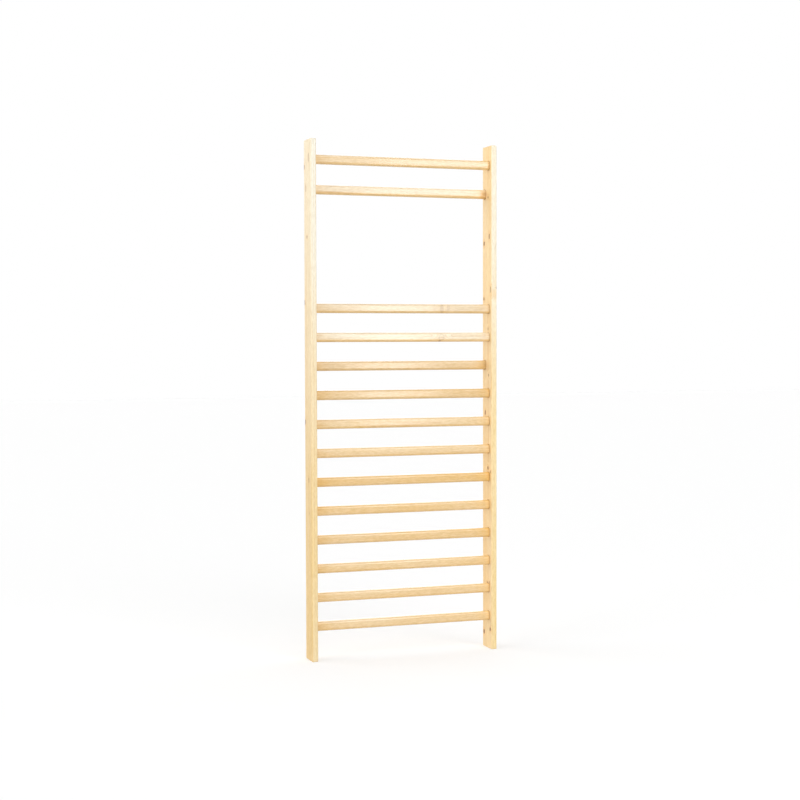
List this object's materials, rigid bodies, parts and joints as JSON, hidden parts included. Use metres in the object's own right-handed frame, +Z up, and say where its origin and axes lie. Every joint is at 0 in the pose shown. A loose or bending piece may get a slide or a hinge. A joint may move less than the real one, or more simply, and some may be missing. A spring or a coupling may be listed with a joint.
{
  "type": "wall bars",
  "caption": "Swedish wall bars: tall pine gymnastics ladder of round-edged bars let into plank uprights, with an open gap below the top bars and some bars set back.",
  "frame": {"origin": "on the floor, midway between the two uprights and midway through their depth", "axes": "+Z up along the uprights, +X along the bars to the right as seen by the person who climbs, +Y towards the wall, so the front faces -Y"},
  "size_m": [0.88, 0.105, 2.3],
  "materials": {
    "upright_wood": "clear satin lacquer on pine with small knots",
    "bar_wood": "clear satin lacquer on straight-grained pine",
    "screw_steel": "zinc-plated, satin"
  },
  "bodies": {
    "root": {"upright_left": "upright_wood", "upright_right": "upright_wood", "bar_01": "bar_wood", "bar_02": "bar_wood", "bar_03": "bar_wood", "bar_04": "bar_wood", "bar_05": "bar_wood", "bar_06": "bar_wood", "bar_07": "bar_wood", "bar_08": "bar_wood", "bar_09": "bar_wood", "bar_10": "bar_wood", "bar_11": "bar_wood", "bar_12": "bar_wood", "bar_13": "bar_wood", "bar_14": "bar_wood", "screw_left_01": "screw_steel", "screw_left_02": "screw_steel", "screw_left_03": "screw_steel", "screw_left_04": "screw_steel", "screw_left_05": "screw_steel", "screw_left_06": "screw_steel", "screw_left_07": "screw_steel", "screw_left_08": "screw_steel", "screw_left_09": "screw_steel", "screw_left_10": "screw_steel", "screw_left_11": "screw_steel", "screw_left_12": "screw_steel", "screw_left_13": "screw_steel", "screw_left_14": "screw_steel", "screw_right_01": "screw_steel", "screw_right_02": "screw_steel", "screw_right_03": "screw_steel", "screw_right_04": "screw_steel", "screw_right_05": "screw_steel", "screw_right_06": "screw_steel", "screw_right_07": "screw_steel", "screw_right_08": "screw_steel", "screw_right_09": "screw_steel", "screw_right_10": "screw_steel", "screw_right_11": "screw_steel", "screw_right_12": "screw_steel", "screw_right_13": "screw_steel", "screw_right_14": "screw_steel"}
  },
  "joints": []
}
